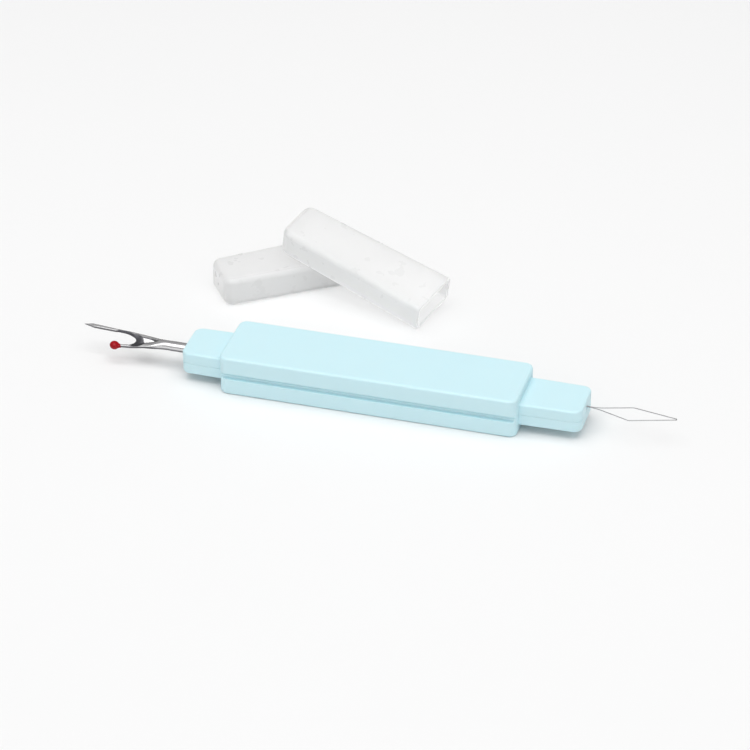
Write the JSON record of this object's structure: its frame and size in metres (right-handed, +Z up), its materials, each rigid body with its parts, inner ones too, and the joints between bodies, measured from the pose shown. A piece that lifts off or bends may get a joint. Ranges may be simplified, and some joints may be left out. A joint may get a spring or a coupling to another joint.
{
  "type": "needle threader",
  "caption": "Pocket sewing tool: a flat moulded handle with a wire needle threader at one end and a seam ripper fork at the other, and clear push-on caps lying beside it.",
  "frame": {"origin": "centre of the handle's flat underside", "axes": "+X along the handle to the threader end, +Y across it to the side where the caps lie, +Z up from the surface it lies on"},
  "size_m": [0.1412, 0.0675, 0.0175],
  "materials": {
    "handle_plastic": "pale blue, moulded, satin gloss",
    "plated_steel": "bright nickel plate over forged steel",
    "ball_plastic": "red, moulded, glossy",
    "wire_steel": "fine drawn steel wire",
    "cap_plastic": "clear, lightly frosted, moulded"
  },
  "bodies": {
    "handle": {"top_shell": "handle_plastic", "bottom_shell": "handle_plastic", "ripper_fork": "plated_steel", "ripper_ball": "ball_plastic", "threader_wire": "wire_steel", "threader_ferrule": "plated_steel"},
    "ripper_cap": {"ripper_cap": "cap_plastic"},
    "threader_cap": {"threader_cap": "cap_plastic"}
  },
  "joints": [
    {"name": "ripper_cap_lift", "type": "slide", "parent": "handle", "child": "ripper_cap", "axis": [0, 0, 1], "range_m": [0, 0.025]},
    {"name": "threader_cap_draw", "type": "slide", "parent": "handle", "child": "threader_cap", "axis": [0.8039, 0.5948, 0], "range_m": [0, 0.045]}
  ]
}
